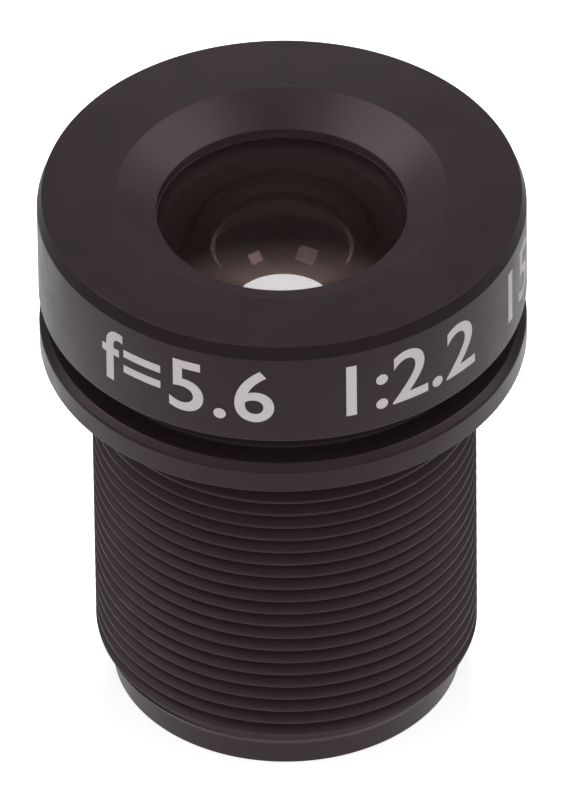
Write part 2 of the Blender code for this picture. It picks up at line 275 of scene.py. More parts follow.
SATIN = anodised("black_anodised_aluminium_satin", "#2E2427", "#372C30", "#B6A4AB", (0.34, 0.42), 0.002)
SATIN_CAP = anodised("black_anodised_aluminium_satin_cap", "#302629", "#3A2E32", "#BFADB4", (0.36, 0.44), 0.002)
# Painted shade: the chamfer's base colour is darker than the cap's, so that it looks dimly lit.
CHAMFER_PAINTED_SHADE = anodised("black_anodised_aluminium_chamfer_painted_shade", "#241D1F", "#2C2427", "#BFADB4", (0.36, 0.44), 0.002)
THREADED = anodised("black_anodised_aluminium_threaded", "#352A2F", "#3F3338", "#C0AEB6", (0.60, 0.68), 0.001)
print("anodised finishes:", [finish.name for finish in (SATIN, SATIN_CAP, CHAMFER_PAINTED_SHADE, THREADED)])

# %% [markdown]
# ### Blackened walls, rubber, film and ink
# Nothing behind the front glass may throw light about, so the bore, spacers and stop are matt black, the
# shields are black film, and the ground rims of the glass are inked. The seal is moulded rubber. Each could be
# one plain dark colour, but a faint grain in tone and roughness keeps it from looking like bare plastic, and
# one function serves them all: they differ in tone, in how rough they are and in how coarse their grain is.

# %% Matt blacks
def matt(name, dark, light, roughness, grain_mm, grain_height=0.0):
    """Roughness is (lowest, highest). A piece behind the glass has no relief, which would only sparkle."""
    made, tree, place = finish_tree(name)
    grain = node(tree, "ShaderNodeTexNoise", {"Vector": place, "Scale": 1 / grain_mm, "Detail": 3.0})
    tone = node(tree, "ShaderNodeMix", {
        "Factor": grain.outputs["Fac"],
        6: srgb(dark),
        7: srgb(light),
    }, data_type="RGBA")
    dull = node(tree, "ShaderNodeMapRange", {
        "Value": grain.outputs["Fac"], "To Min": roughness[0], "To Max": roughness[1],
    })
    shader = node(tree, "ShaderNodeBsdfPrincipled", {
        "Base Color": tone.outputs[2], "Roughness": dull.outputs["Result"],
    })
    if grain_height:
        bump = node(tree, "ShaderNodeBump", {"Height": grain.outputs["Fac"], "Distance": grain_height * MM})
        tree.links.new(bump.outputs["Normal"], shader.inputs["Normal"])
    node(tree, "ShaderNodeOutputMaterial", {"Surface": shader.outputs["BSDF"]})
    return made


WALLS = matt("matt_black_anodised_walls", "#3A2C2F", "#443437", (0.50, 0.60), 0.4)
BLACKENED = matt("blackened_aluminium_rings", "#3C2D30", "#473639", (0.45, 0.55), 0.3)
RING_METAL = matt("blackened_aluminium_ring_rear", "#2C2125", "#372B2F", (0.40, 0.50), 0.3, 0.002)
SHEET = matt("blackened_sheet_metal", "#3A2C2E", "#443436", (0.55, 0.65), 0.2)
FILM = matt("black_polyester_film", "#33282A", "#3C3032", (0.70, 0.80), 0.3)
RUBBER = matt("moulded_nitrile_rubber", "#191919", "#222121", (0.65, 0.75), 0.5, 0.003)
INK = matt("ground_glass_rim_with_black_ink", "#3F3034", "#4A393D", (0.70, 0.80), 0.4)
print("matt finishes:", [finish.name for finish in (WALLS, BLACKENED, RING_METAL, SHEET, FILM, RUBBER, INK)])

# %% [markdown]
# ### Coated optical glass
# The elements are polished, and a film of magnesium fluoride, a quarter of a wavelength thick, takes most of
# the mirror image off each surface. A Glass shader mixed with others could show that, but one Principled
# shader does it all: full transmission bends the light by the index of the glass, and its thin film cancels
# the reflection. Inside the lens the film is 112 nm thick, which suits light that crosses it at a slant. On
# the front face it is only 60 nm, so that face keeps a weak, warm mirror image, and a trace of reddish dust,
# made with sheen, lifts its black a little. The rear face of the front element has no film: it mirrors two
# faint lamps and a soft warm glow above the white hole. Where two glasses are cemented, light passes from
# glass to cement, so those faces have no film either and take the ratio of the two indices.

# %% Coated glass
FILM_INDEX = 1.38           # magnesium fluoride
CEMENT_INDEX = 1.56
DENSE_INDEX = 1.80
CROWN_INDEX = 1.60
FRONT_INDEX = 1.72
INNER_FILM = 112.0


def coated(name, index, film, mirror="#FFFFFF", dust=0.0):
    """Film is the thickness of the coat in nm, mirror tints its reflection, and dust is how much lies on it."""
    made, tree, place = finish_tree(name)
    haze = node(tree, "ShaderNodeTexNoise", {"Vector": place, "Scale": 0.6, "Detail": 2.0})
    tone = node(tree, "ShaderNodeMix", {
        "Factor": haze.outputs["Fac"],
        6: srgb("#FDFCFC"),
        7: srgb("#F8F6F6"),
    }, data_type="RGBA")
    shader = node(tree, "ShaderNodeBsdfPrincipled", {
        "Base Color": tone.outputs[2],
        "Roughness": 0.0,
        "IOR": index,
        "Transmission Weight": 1.0,
        "Thin Film Thickness": film,
        "Thin Film IOR": FILM_INDEX,
        "Specular Tint": srgb(mirror),
        "Sheen Weight": dust,
        "Sheen Roughness": 0.7,
        "Sheen Tint": srgb("#E69CA4"),
    })
    node(tree, "ShaderNodeOutputMaterial", {"Surface": shader.outputs["BSDF"]})
    return made


FRONT_GLASS = coated("coated_dense_glass_front", FRONT_INDEX, 60.0, dust=0.03)
BARE_GLASS = coated("bare_dense_glass_behind", FRONT_INDEX, 0.0, mirror="#FFD2D6")
FLINT = coated("coated_light_flint_glass", 1.62, INNER_FILM)
DENSE = coated("coated_dense_glass", DENSE_INDEX, INNER_FILM)
CROWN = coated("coated_dense_crown_glass", CROWN_INDEX, INNER_FILM)
CROWN_CEMENTED = coated("crown_glass_cemented", CROWN_INDEX / CEMENT_INDEX, 0.0)
DENSE_CEMENTED = coated("dense_glass_cemented", DENSE_INDEX / CEMENT_INDEX, 0.0)
print("a quarter wave of green light in the film, straight on:", round(550 / 4 / FILM_INDEX), "nm")

# %% [markdown]
# ## The glass stack
# A lens drawing lists each surface by its radius, and a positive one has its centre behind it. `sag` gives how
# far such a surface has dropped behind its vertex, and `element` turns the two polished surfaces with the
# ground rim between them. Slicing spheres with Booleans could make them too, but that leaves uneven faces, and
# the picture seen through the glass is only as smooth as the glass, so each surface gets many fine rings.

# %% Polished surfaces and elements
GLASS_RINGS = 28
GLASS_SEGMENTS = 160
GLASS_SHARP = 6             # degrees: more than from ring to ring, and less than at the rim


def sag(curve, at):
    return curve - math.copysign(math.sqrt(curve * curve - at * at), curve)


def surface(curve, clear, vertex, finish, rim_finish):
    """Corners of a polished surface from the axis to its rim."""
    made = []
    for step in range(GLASS_RINGS + 1):
        at = clear * step / GLASS_RINGS
        last = step == GLASS_RINGS
        made.append((at, up(vertex + sag(curve, at)), 0.0, rim_finish if last else finish))
    return made


def element(name, front, rear, vertex, thickness, edge, finishes, slot):
    """Front and rear are (curve, clear radius). Finishes are front face, rear face and rim."""
    top = surface(*front, vertex, 0, 2)
    low = surface(*rear, vertex + thickness, 1, 1)[::-1]
    rim = [(edge, top[-1][1], 0.0, 2), (edge, low[0][1], 0.0, 2)]
    rim = [corner for corner in rim if corner[:2] not in (top[-1][:2], low[0][:2])]
    piece = turned(name + "_polished", top + rim + low, finishes, GLASS_SHARP, GLASS_SEGMENTS)
    return in_place(piece, slot, name)


# %% The six elements, from the front
LENS_1 = ((14.055, 3.86), (4.976, 3.42), 0.46, 0.80)
LENS_2 = ((-9.0, 3.22), (8.716, 2.92), 4.564, 0.75)
LENS_3 = ((10.509, 3.05), (-12.91, 2.95), 6.18, 2.564)
CEMENTED = (-4.934, 3.25)
LENS_4 = ((13.527, 3.10), CEMENTED, 10.494, 1.90)
LENS_5 = (CEMENTED, (-51.85, 3.15), 12.404, 0.70)
LENS_6 = ((7.859, 3.55), (-25.669, 3.55), 13.511, 1.90)
front_element = element("lens_1", *LENS_1, FRONT_EDGE, (FRONT_GLASS, BARE_GLASS, INK), "front_glass")
element("lens_2", *LENS_2, STACK_EDGE, (FLINT, FLINT, INK), "inner_glass")
element("lens_3", *LENS_3, STACK_EDGE, (DENSE, DENSE, INK), "inner_glass")
element("lens_4", *LENS_4, CEMENTED[1], (CROWN, CROWN_CEMENTED, INK), "inner_glass")
element("lens_5", *LENS_5, STACK_EDGE, (DENSE_CEMENTED, DENSE, INK), "inner_glass")
element("lens_6", *LENS_6, STACK_EDGE, (CROWN, CROWN, INK), "inner_glass")


# %% [markdown]
# ## Rings between the elements
# Each spacer runs from the rim of one element to the rim of the next, so its height comes from the same
# surfaces. The stop is a thin sheet with the hole that sets how bright the picture is, and the shields are
# punched from film. Tubes could be added as primitives, but four corners on the lathe give each its place and
# the small rounding where a tool would break an edge.

# %% Spacers, stop and shields
def front_rim(lens):
    return lens[2] + sag(*lens[0])


def rear_rim(lens):
    return lens[2] + lens[3] + sag(*lens[1])


def beside(face):
    """The bore of a ring that lies on the rim of a polished surface."""
    return face[1] + RIM_CLEARANCE


def ring(name, bore, edge, top, low, finish, slot, fillet=0.0):
    corners = [(edge, up(top + HAIR), fillet, 0), (edge, up(low - HAIR), fillet, 0)]
    corners += [(bore, up(low - HAIR), fillet, 0), (bore, up(top + HAIR), fillet, 0)]
    return in_place(turned(name + "_finished", corners, (finish,)), slot, name)


HAIR = 0.004                # left open where two pieces touch, so that no face lies on another
STOP_RADIUS = 2.39
STOP_HALF = 0.05            # half the thickness of its sheet
STOP_GAP = 0.547            # from the element in front of it
STOP = LENS_3[2] + LENS_3[3] + STOP_GAP
SHIELD = 0.06
BREAK = 0.03
METAL = "blackened_aluminium"
seat = rear_rim(LENS_1) + SHIELD
stack_end = rear_rim(LENS_6)
ring("light_shield_1", beside(LENS_1[1]), FRONT_EDGE, rear_rim(LENS_1), seat, FILM, "black_film")
ring("spacer_1", beside(LENS_3[0]), STACK_EDGE, rear_rim(LENS_2), front_rim(LENS_3), BLACKENED, METAL, BREAK)
ring("spacer_2", beside(LENS_3[1]), STACK_EDGE, rear_rim(LENS_3), STOP - STOP_HALF, BLACKENED, METAL, BREAK)
ring("aperture_stop", STOP_RADIUS, STACK_EDGE, STOP - STOP_HALF, STOP + STOP_HALF, SHEET,
     "blackened_sheet", 0.01)
ring("spacer_3", beside(LENS_5[0]), STACK_EDGE, STOP + STOP_HALF, front_rim(LENS_5), BLACKENED, METAL, BREAK)
ring("spacer_4", beside(LENS_6[0]), STACK_EDGE, rear_rim(LENS_5), front_rim(LENS_6), BLACKENED, METAL, BREAK)
ring("light_shield_2", beside(LENS_6[1]), STACK_EDGE, stack_end, stack_end + SHIELD, FILM, "black_film")

# %% [markdown]
# ## Front seal
# A moulded rubber ring of round section lies between the edge of the front glass and the barrel, under the
# cap's lip. A torus would do, but on the lathe it is an outline like the others, a circle beside the axis.

# %% Front seal
SEAL_SECTION = 0.40         # radius of its round section
SEAL_ROOM = 0.07
SEAL_STEPS = 24
LIP = front_rim(LENS_1)
SEAL_FLOOR = LIP + 2 * SEAL_SECTION + SEAL_ROOM
SEAL_BORE = FRONT_EDGE + FIT + 2 * SEAL_SECTION + SEAL_ROOM
seal_middle = (FRONT_EDGE + FIT + SEAL_BORE) / 2
seal_loop = []
for step in range(SEAL_STEPS):
    angle = 2 * math.pi * step / SEAL_STEPS
    across = SEAL_SECTION * math.cos(angle)
    along = SEAL_SECTION * math.sin(angle)
    seal_loop.append((seal_middle + across, up((LIP + SEAL_FLOOR) / 2) + along, 0.0, 0))
in_place(turned("front_seal_moulded", seal_loop, (RUBBER,)), "black_rubber", "front_seal")

# %% [markdown]
# ## Front cap
# The cap is a short cup that screws over the barrel's boss. Its band carries the marking, a slim chamfer leads
# up to the flat face, and a shallow funnel runs down to the throat, whose lip presses on the glass. Cutting a
# cylinder would hide these depths in many steps, and in one outline each stands in a line of its own. The edge
# between face and chamfer is only broken, so it shows as a thin glint.

# %% Front cap
FUNNEL_TOP = 5.11
FUNNEL_DEPTH = 0.68
CHAMFER_WIDTH = 0.15
CHAMFER_DEPTH = 0.42
MOUTH = 0.10                # chamfer of the mouth that goes over the boss
cap_bore = BOSS_RADIUS + FIT
# The chamfer stretch takes the darker finish, which is painted shade.
cap = turned("front_cap_turned", [
    (HEAD_RADIUS - CHAMFER_WIDTH, up(0.0), 0.02, 1),
    (HEAD_RADIUS, up(CHAMFER_DEPTH), 0.04, 0),
    (HEAD_RADIUS, up(CAP_HEIGHT), 0.06, 0),
    (cap_bore + MOUTH, up(CAP_HEIGHT), 0.03, 0),
    (cap_bore, up(CAP_HEIGHT - MOUTH), 0.02, 0),
    (cap_bore, up(LIP - HAIR), 0.0, 0),
    (THROAT_RADIUS, up(LIP - HAIR), 0.0, 0),
    (THROAT_RADIUS, up(FUNNEL_DEPTH), 0.05, 0),
    (FUNNEL_TOP, up(0.0), 0.06, 0),
], (SATIN_CAP, CHAMFER_PAINTED_SHADE))
in_place(cap, "black_anodised_aluminium_cap", "front_cap")

# %% [markdown]
# ## Barrel
# The barrel is one turned piece: spigot, lead-in cone, thread core, flange and boss outside, and the stepped
# bore that seats the glass inside. It is drawn in one outline, whose second half takes the matt finish of the
# inner walls. The thread itself is cut in the next step.

# %% Barrel
SPIGOT_CHAMFER = 0.06
SEAT_CLEARANCE = 0.04       # the flange's flat underside starts this far outside the crests
FLANGE_CHAMFER = 0.21
BOSS_CHAMFER = 0.10
BOSS_GAP = 0.05             # from the top of the boss to the inside of the cap
RING_STEP = 0.20            # the rear ring's bore is wider than the stack's by this
RING_LEAD = 0.15            # and starts this far in front of the last rim
RING_MOUTH = 0.15
corner = CREST_RADIUS + SEAT_CLEARANCE - ROOT_RADIUS
lead_end = SPIGOT_HEIGHT + (ROOT_RADIUS - SPIGOT_RADIUS) / LEAD_SLOPE
boss_top = LIP + BOSS_GAP
shoulder = front_rim(LENS_2)
ring_bore = STACK_BORE + RING_STEP
ring_bore_top = stack_end - RING_LEAD
barrel = turned("barrel_turned", [
    (SPIGOT_RADIUS - SPIGOT_CHAMFER, 0.0, 0.02, 0),
    (SPIGOT_RADIUS, SPIGOT_CHAMFER, 0.02, 0),
    (SPIGOT_RADIUS, SPIGOT_HEIGHT, 0.05, 0),
    (ROOT_RADIUS, lead_end, 0.05, 0),
    (ROOT_RADIUS, up(FLANGE_LOW + corner), 0.20, 0),
    (ROOT_RADIUS + corner, up(FLANGE_LOW), 0.05, 0),
    (HEAD_RADIUS, up(FLANGE_LOW), 0.03, 0),
    (HEAD_RADIUS, up(FLANGE_TOP + FLANGE_CHAMFER), 0.16, 0),
    (HEAD_RADIUS - FLANGE_CHAMFER, up(FLANGE_TOP), 0.08, 0),
    (BOSS_RADIUS, up(FLANGE_TOP), 0.10, 0),
    (BOSS_RADIUS, up(boss_top + BOSS_CHAMFER), 0.03, 0),
    (BOSS_RADIUS - BOSS_CHAMFER, up(boss_top), 0.03, 1),
    (SEAL_BORE, up(boss_top), 0.03, 1),
    (SEAL_BORE, up(SEAL_FLOOR), 0.05, 1),
    (FRONT_EDGE + FIT, up(SEAL_FLOOR), 0.03, 1),
    (FRONT_EDGE + FIT, up(seat), 0.0, 1),
    (beside(LENS_1[1]), up(seat), 0.03, 1),
    (beside(LENS_2[0]), up(shoulder), 0.03, 1),
    (STACK_BORE, up(shoulder), 0.0, 1),
    (STACK_BORE, up(ring_bore_top), 0.03, 1),
    (ring_bore, up(ring_bore_top), 0.03, 1),
    (ring_bore, RING_MOUTH, 0.03, 0),
    (ring_bore + RING_MOUTH, 0.0, 0.03, 0),
], (SATIN, WALLS))
in_place(barrel, "black_anodised_aluminium", "barrel")

# %% [markdown]
# ## Thread
# The real thread is cut by a pointed tool that follows a helix, and its ridge is what is left between two
# passes. Geometry Nodes lay a ridge along a spiral instead: a trapezium of 60 degree flanks with broken crest
# edges is swept along it, shrinks to nothing over half a turn at each end, and is then trimmed by the lead-in
# cone, so that the first turn starts slim. The Screw modifier could sweep it too, but would end it bluntly.
# Every size is an input of the tree, so another screw needs only other numbers.

# %% Node tree of the thread
THREAD_INPUTS = (
    ("Pitch", "NodeSocketFloat"),
    ("Turns", "NodeSocketFloat"),
    ("Points A Turn", "NodeSocketInt"),
    ("Root Radius", "NodeSocketFloat"),
    ("Ridge Height", "NodeSocketFloat"),
    ("Crest Width", "NodeSocketFloat"),
    ("Base Width", "NodeSocketFloat"),
    ("Sunk", "NodeSocketFloat"),
    ("Edge Break", "NodeSocketFloat"),
    ("Run Out Turns", "NodeSocketFloat"),
    ("First Height", "NodeSocketFloat"),
    ("Start Angle", "NodeSocketFloat"),
    ("Cone Radius", "NodeSocketFloat"),
    ("Cone Height", "NodeSocketFloat"),
    ("Cone Slope", "NodeSocketFloat"),
    ("Finish", "NodeSocketMaterial"),
)


def thread_tree():
    tree = bpy.data.node_groups.new("thread", "GeometryNodeTree")
    tree.interface.new_socket("Geometry", in_out="OUTPUT", socket_type="NodeSocketGeometry")
    for name, kind in THREAD_INPUTS:
        tree.interface.new_socket(name, in_out="INPUT", socket_type=kind)
    size = node(tree, "NodeGroupInput").outputs
    # The path, one point after another up the helix, with its sideways direction kept level.
    climb = node(tree, "ShaderNodeMath", {0: size["Turns"], 1: size["Pitch"]}, operation="MULTIPLY")
    spiral = node(tree, "GeometryNodeCurveSpiral", {
        "Resolution": size["Points A Turn"],
        "Rotations": size["Turns"],
        "Start Radius": size["Root Radius"],
        "End Radius": size["Root Radius"],
        "Height": climb.outputs[0],
    })
    level = node(tree, "GeometryNodeSetCurveNormal", {"Curve": spiral.outputs["Curve"]}, mode="Z_UP")
    # How far the ridge has grown: from nothing at either end to one.
    along = node(tree, "GeometryNodeSplineParameter")
    begun = node(tree, "ShaderNodeMath", {0: along.outputs["Factor"], 1: size["Turns"]}, operation="MULTIPLY")
    left = node(tree, "ShaderNodeMath", {0: size["Turns"], 1: begun.outputs[0]}, operation="SUBTRACT")
    nearest = node(tree, "ShaderNodeMath", {0: begun.outputs[0], 1: left.outputs[0]}, operation="MINIMUM")
    growth = node(tree, "ShaderNodeMath", {0: nearest.outputs[0], 1: size["Run Out Turns"]}, operation="DIVIDE")
    grown = node(tree, "ShaderNodeMath", {0: growth.outputs[0], 1: 1.0}, operation="MINIMUM")
    # The section: its base is sunk a little into the core, so that no gap shows between them.
    tall = node(tree, "ShaderNodeMath", {0: size["Ridge Height"], 1: size["Sunk"]}, operation="ADD")
    section = node(tree, "GeometryNodeCurvePrimitiveQuadrilateral", {
        "Height": tall.outputs[0],
        "Bottom Width": size["Base Width"],
        "Top Width": size["Crest Width"],
        "Offset": 0.0,
    }, mode="TRAPEZOID")
    broken = node(tree, "GeometryNodeFilletCurve", {
        "Curve": section.outputs["Curve"], "Count": 3, "Radius": size["Edge Break"], "Limit Radius": True,
    }, mode="POLY")
    # The section stands beside the path: the curve's normal points to the axis, so outwards is minus X.
    aside = node(tree, "ShaderNodeMath", {0: size["Sunk"], 1: size["Ridge Height"]}, operation="SUBTRACT")
    half = node(tree, "ShaderNodeMath", {0: aside.outputs[0], 1: 0.5}, operation="MULTIPLY")
    offset = node(tree, "ShaderNodeCombineXYZ", {"X": half.outputs[0]})
    aimed = node(tree, "GeometryNodeTransform", {
        "Geometry": broken.outputs["Curve"],
        "Translation": offset.outputs["Vector"],
        "Rotation": (0.0, 0.0, math.pi / 2),
    })
    ridge = node(tree, "GeometryNodeCurveToMesh", {
        "Curve": level.outputs["Curve"],
        "Profile Curve": aimed.outputs["Geometry"],
        "Scale": grown.outputs[0],
        "Fill Caps": True,
    })
    # Turned to its start and raised to the height of its first turn.
    lift = node(tree, "ShaderNodeCombineXYZ", {"Z": size["First Height"]})
    spin = node(tree, "ShaderNodeCombineXYZ", {"Z": size["Start Angle"]})
    set_up = node(tree, "GeometryNodeTransform", {
        "Geometry": ridge.outputs["Mesh"],
        "Translation": lift.outputs["Vector"],
        "Rotation": spin.outputs["Vector"],
    })
    # Trimmed by the cone: no point may stand further out than the cone does at its height.
    place = node(tree, "GeometryNodeInputPosition")
    parts = node(tree, "ShaderNodeSeparateXYZ", {"Vector": place.outputs["Position"]}).outputs
    flat = node(tree, "ShaderNodeCombineXYZ", {"X": parts["X"], "Y": parts["Y"]})
    radius = node(tree, "ShaderNodeVectorMath", {0: flat.outputs["Vector"]}, operation="LENGTH")
    above = node(tree, "ShaderNodeMath", {0: parts["Z"], 1: size["Cone Height"]}, operation="SUBTRACT")
    allowed = node(tree, "ShaderNodeMath", {
        0: above.outputs[0], 1: size["Cone Slope"], 2: size["Cone Radius"],
    }, operation="MULTIPLY_ADD")
    share = node(tree, "ShaderNodeMath", {
        0: allowed.outputs[0], 1: radius.outputs["Value"],
    }, operation="DIVIDE")
    trim = node(tree, "ShaderNodeMath", {0: share.outputs[0], 1: 1.0}, operation="MINIMUM")
    factors = node(tree, "ShaderNodeCombineXYZ", {"X": trim.outputs[0], "Y": trim.outputs[0], "Z": 1.0})
    trimmed = node(tree, "ShaderNodeVectorMath", {
        0: place.outputs["Position"], 1: factors.outputs["Vector"],
    }, operation="MULTIPLY")
    cut = node(tree, "GeometryNodeSetPosition", {
        "Geometry": set_up.outputs["Geometry"], "Position": trimmed.outputs["Vector"],
    })
    closed = node(tree, "GeometryNodeMergeByDistance", {"Geometry": cut.outputs["Geometry"], "Distance": 1e-7})
    real = node(tree, "GeometryNodeRealizeInstances", {"Geometry": closed.outputs["Geometry"]})
    dressed = node(tree, "GeometryNodeSetMaterial", {
        "Geometry": real.outputs["Geometry"], "Material": size["Finish"],
    })
    node(tree, "NodeGroupOutput", {"Geometry": dressed.outputs["Geometry"]})
    return tree


# %% [markdown]
# The modifier's inputs are set by the identifier of each socket, and the result becomes a plain mesh before the
# piece takes its place.

# %% Thread
CREST_FLAT = 0.10
FLANK = math.radians(30)    # each side, so 60 degrees between them
RIDGE = CREST_RADIUS - ROOT_RADIUS
SUNK = 0.04
THREAD_TURNS = 748 / 36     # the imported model's thread takes 748 steps, 36 to a turn
THREAD_SHARP = 40
thread_sizes = {
    "Pitch": THREAD_PITCH * MM,
    "Turns": THREAD_TURNS,
    "Points A Turn": 120,
    "Root Radius": ROOT_RADIUS * MM,
    "Ridge Height": RIDGE * MM,
    "Crest Width": CREST_FLAT * MM,
    "Base Width": (CREST_FLAT + 2 * (RIDGE + SUNK) * math.tan(FLANK)) * MM,
    "Sunk": SUNK * MM,
    "Edge Break": 0.045 * MM,
    "Run Out Turns": 0.5,
    "First Height": lead_end * MM,
    "Start Angle": math.radians(260),
    "Cone Radius": SPIGOT_RADIUS * MM,
    "Cone Height": SPIGOT_HEIGHT * MM,
    "Cone Slope": LEAD_SLOPE,
    "Finish": THREADED,
}


def as_plain_mesh(piece):
    """Replaces the modifiers of a piece by the mesh that they make."""
    graph = bpy.context.evaluated_depsgraph_get()
    result = piece.evaluated_get(graph)
    mesh = bpy.data.meshes.new_from_object(result, preserve_all_data_layers=True, depsgraph=graph)
    mesh.name = piece.name
    piece.modifiers.clear()
    piece.data = mesh
    return piece


tree = thread_tree()
print("thread tree:", len(tree.nodes), "nodes and", len(THREAD_INPUTS), "inputs")
thread = bpy.data.objects.new("barrel_thread", bpy.data.meshes.new("barrel_thread"))
bpy.context.scene.collection.objects.link(thread)
cutting = thread.modifiers.new("thread", "NODES")
cutting.node_group = tree
sockets = {item.name: item.identifier for item in tree.interface.items_tree if item.in_out == "INPUT"}
for name, value in thread_sizes.items():
    cutting[sockets[name]] = value
as_plain_mesh(thread)
thread.data.shade_smooth()
thread.data.set_sharp_from_angle(angle=math.radians(THREAD_SHARP))
in_place(thread, "black_anodised_aluminium", "barrel")

# %% [markdown]
# ## Rear retaining ring
# The ring screws into the rear bore and clamps the stack. Four slots across its rear face take a spanner. It
# is turned like the other rings, and two crossed bars cut the slots with Boolean modifiers.

# %% Rear retaining ring
RING_HEIGHT = 1.60
OPENING = LENS_6[1][1]
OPENING_CHAMFER = 0.12
SLOT_WIDTH = 0.80
SLOT_DEPTH = 0.60
BAR = 12.0                  # length of a bar, more than the ring is wide
ring_top = stack_end + SHIELD
ring_low = ring_top + RING_HEIGHT
ring_edge = ring_bore - FIT
retainer = turned("rear_retaining_ring_slotted", [
    (ring_edge, up(ring_top + HAIR), 0.03, 0),
    (ring_edge, up(ring_low), 0.05, 0),
    (OPENING + OPENING_CHAMFER, up(ring_low), 0.02, 0),
    (OPENING, up(ring_low - OPENING_CHAMFER), 0.02, 0),
    (OPENING, up(ring_top + OPENING_CHAMFER), 0.02, 0),
    (OPENING + OPENING_CHAMFER, up(ring_top + HAIR), 0.02, 0),
], (RING_METAL,))
bars = []
for across in ((BAR, SLOT_WIDTH), (SLOT_WIDTH, BAR)):
    bm = bmesh.new()
    bmesh.ops.create_cube(bm, size=1.0)
    bmesh.ops.scale(bm, vec=(across[0] * MM, across[1] * MM, 2 * SLOT_DEPTH * MM), verts=bm.verts[:])
    bmesh.ops.translate(bm, vec=(0, 0, up(ring_low) * MM), verts=bm.verts[:])
    mesh = bpy.data.meshes.new("spanner_bar")
    bm.to_mesh(mesh)
    bm.free()
    bar = bpy.data.objects.new("spanner_bar", mesh)
    bpy.context.scene.collection.objects.link(bar)
    cut = retainer.modifiers.new("slot", "BOOLEAN")
    cut.operation = "DIFFERENCE"
    cut.solver = "EXACT"
    cut.object = bar
    bars.append(bar)
as_plain_mesh(retainer)
retainer.data.set_sharp_from_angle(angle=math.radians(SHARP))
for bar in bars:
    bpy.data.objects.remove(bar, do_unlink=True)
in_place(retainer, "blackened_aluminium_ring", "rear_retaining_ring")

# %% [markdown]
# ## Marking
# Such a lens carries its plain figures round the band: focal length, aperture and head diameter. They are
# printed in light grey paint, which lies on the metal as a thin skin. A painted texture could carry them, but
# it blurs when looked at closely. So Text objects give the shapes, cuts every 0.1 mm let them bend, and each
# point is then wrapped round the band.

# %% Marking paint
def paint(name):
    made, tree, place = finish_tree(name)
    speckle = node(tree, "ShaderNodeTexNoise", {"Vector": place, "Scale": 14.0, "Detail": 3.0})
    tone = node(tree, "ShaderNodeMix", {
        "Factor": speckle.outputs["Fac"],
        6: srgb("#EFE7E9"),
        7: srgb("#FAF4F6"),
    }, data_type="RGBA")
    shader = node(tree, "ShaderNodeBsdfPrincipled", {"Base Color": tone.outputs[2], "Roughness": 0.6})
    node(tree, "ShaderNodeOutputMaterial", {"Surface": shader.outputs["BSDF"]})
    return made


PAINT = paint("pad_printed_grey_paint")
FIGURE_HEIGHT = 1.98
BASELINE = 2.84             # depth of the foot of the figures
PAINT_OUT = 0.008
PAINT_IN = 0.02
STROKE_GAIN = 0.03          # the paint spreads, so printed strokes come out bolder than drawn ones
EM = (FIGURE_HEIGHT - 2 * STROKE_GAIN) / 0.691      # a figure of the font is 0.691 of its size high
BEND = 0.1                  # from cut to cut


def printed(name, words, middle_degrees, spread):
    """Words on the band, centred on an angle from the camera's side. Spread widens the gaps between letters."""
    curve = bpy.data.curves.new(name, "FONT")
    curve.body = words
    curve.size = EM
    curve.offset = STROKE_GAIN
    curve.space_character = spread
    curve.align_x = "CENTER"
    curve.resolution_u = 8
    letters = bpy.data.objects.new(name, curve)
    bpy.context.scene.collection.objects.link(letters)
    graph = bpy.context.evaluated_depsgraph_get()
    flat = bpy.data.meshes.new_from_object(letters.evaluated_get(graph))
    bpy.data.objects.remove(letters, do_unlink=True)
    bm = bmesh.new()
    bm.from_mesh(flat)
    bmesh.ops.remove_doubles(bm, verts=bm.verts[:], dist=WELD)
    reach = max(abs(vertex.co.x) for vertex in bm.verts)
    steps = int(reach / BEND) + 1
    for step in range(-steps, steps + 1):
        parts = bm.verts[:] + bm.edges[:] + bm.faces[:]
        bmesh.ops.bisect_plane(bm, geom=parts, plane_co=(BEND * step, 0, 0), plane_no=(1, 0, 0), dist=1e-6)
    bmesh.ops.triangulate(bm, faces=bm.faces[:])
    skin = bmesh.ops.extrude_face_region(bm, geom=bm.faces[:])["geom"]
    outer = {item for item in skin if isinstance(item, bmesh.types.BMVert)}
    for vertex in bm.verts:
        angle = math.radians(middle_degrees) + vertex.co.x / HEAD_RADIUS
        radius = HEAD_RADIUS + (PAINT_OUT if vertex in outer else -PAINT_IN)
        height = up(BASELINE) + vertex.co.y
        vertex.co = (radius * math.sin(angle), -radius * math.cos(angle), height)
    piece = finished(name, bm, (PAINT,))
    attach(piece, "root")
    arc = 2 * math.degrees(reach / HEAD_RADIUS)
    print(f"{name}: {len(piece.data.polygons)} faces, {arc:.0f} degrees of the band")
    return piece


printed("marking_focal_length", "f=5.6", -24.5, 1.05)
printed("marking_aperture", "1:2.2", 31.0, 1.0)
printed("marking_diameter", "15", 73.0, 1.0)

# %% [markdown]
# ## Floor and surroundings
# The lens stands on a white table in a light tent. Table and air are white to the camera and white through the
# glass, which is what fills the hole in the middle, while their light on the object stays at a plain level, so
# black stays black. In mirror images the table is brightest beside the lens and fades further out: the sides of
# the band shine, and the chamfer above them, which mirrors the far table, stays dark. The table keeps the
# shadow, because part of its white is lit and not glowing. The tent is brighter in front than behind, and its
# bright part is narrower as the glass shows it: light from the side, caught inside the front element, would
# draw bright arcs beside the dark well of the lens.

# %% Floor
TABLE_RADIUS = 0.25
TABLE_GLOW = 0.75           # of the white that the camera sees, the rest is lit and takes the shadow


